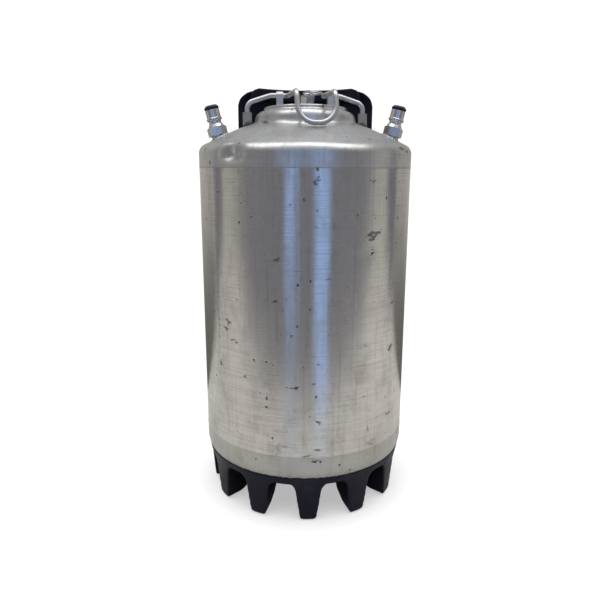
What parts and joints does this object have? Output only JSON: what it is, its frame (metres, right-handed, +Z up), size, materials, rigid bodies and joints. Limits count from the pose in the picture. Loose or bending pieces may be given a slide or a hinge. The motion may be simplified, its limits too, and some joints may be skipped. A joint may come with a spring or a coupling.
{
  "type": "beverage keg",
  "caption": "Small upright stainless keg with an oval clamped lid, two quick connect posts, a rubber top handle and a rubber boot on short fingers.",
  "frame": {"origin": "centre of the footprint, on the floor", "axes": "+Z up, -Y the front where the lid's lever hangs, +X towards the gas post"},
  "size_m": [0.2162, 0.2162, 0.4298],
  "materials": {
    "barrel_steel": "worn, brushed round the barrel",
    "head_steel": "worn satin",
    "weld": "dull weld bead",
    "lid_steel": "satin",
    "bail_steel": "bright drawn wire",
    "post_steel": "machined bright",
    "fitting_steel": "machined",
    "spring_steel": "drawn wire",
    "ring_steel": "bright wire",
    "foot_cap": "grey moulded cap",
    "seal_rubber": "black moulded rubber",
    "handle_rubber": "black moulded rubber, satin",
    "boot_rubber": "black moulded rubber, scuffed"
  },
  "bodies": {
    "tank": {"barrel": "barrel_steel", "bottom_dome": "head_steel", "top_dome": "head_steel", "top_seam_weld": "weld", "bottom_seam_weld": "weld", "liquid_port": "fitting_steel", "liquid_post": "post_steel", "liquid_post_oring": "seal_rubber", "liquid_tube_oring": "seal_rubber", "liquid_poppet_spring": "spring_steel", "liquid_dip_tube": "fitting_steel", "gas_port": "fitting_steel", "gas_post": "post_steel", "gas_post_oring": "seal_rubber", "gas_tube_oring": "seal_rubber", "gas_poppet_spring": "spring_steel", "gas_dip_tube": "fitting_steel", "handle_bracket": "fitting_steel", "handle_grip": "handle_rubber", "base_boot": "boot_rubber"},
    "lid": {"lid": "lid_steel", "lid_gasket": "seal_rubber", "bail_bracket_left": "bail_steel", "bail_bracket_right": "bail_steel", "relief_valve_body": "post_steel", "relief_valve_cap": "post_steel", "relief_valve_spring": "spring_steel"},
    "bail": {"bail": "bail_steel", "bail_foot_left": "foot_cap", "bail_foot_right": "foot_cap"},
    "relief_stem": {"relief_valve_stem": "fitting_steel", "relief_valve_seal": "seal_rubber"},
    "pull_ring": {"pull_ring": "ring_steel"},
    "liquid_poppet": {"liquid_poppet": "fitting_steel", "liquid_poppet_seal": "seal_rubber"},
    "gas_poppet": {"gas_poppet": "fitting_steel", "gas_poppet_seal": "seal_rubber"}
  },
  "joints": [
    {"name": "lid_drop", "type": "slide", "parent": "tank", "child": "lid", "axis": [0, 0, -1], "range_m": [0, 0.008]},
    {"name": "bail_turn", "type": "hinge", "parent": "lid", "child": "bail", "pos_m": [0, 0, 0.4155], "axis": [-0.9954, -0.0958, 0], "range_deg": [0, 100]},
    {"name": "relief_lift", "type": "slide", "parent": "lid", "child": "relief_stem", "axis": [0, 0, 1], "range_m": [0, 0.002], "stiffness_N_per_m": 2000, "springref_m": -0.003, "deforming": ["relief_valve_spring"]},
    {"name": "ring_swing", "type": "hinge", "parent": "relief_stem", "child": "pull_ring", "pos_m": [0.0024, -0.02489, 0.4161], "axis": [0.8339, -0.5519, 0], "range_deg": [0, 165]},
    {"name": "liquid_poppet_press", "type": "slide", "parent": "tank", "child": "liquid_poppet", "axis": [0.2334, 0, -0.9724], "range_m": [0, 0.003], "stiffness_N_per_m": 1200, "springref_m": -0.004, "deforming": ["liquid_poppet_spring"]},
    {"name": "gas_poppet_press", "type": "slide", "parent": "tank", "child": "gas_poppet", "axis": [-0.2334, 0, -0.9724], "range_m": [0, 0.003], "stiffness_N_per_m": 1200, "springref_m": -0.004, "deforming": ["gas_poppet_spring"]}
  ],
  "couplings": [
    {"joint": "lid_drop", "follows": "bail_turn", "m_per_rad": 0.00458}
  ]
}
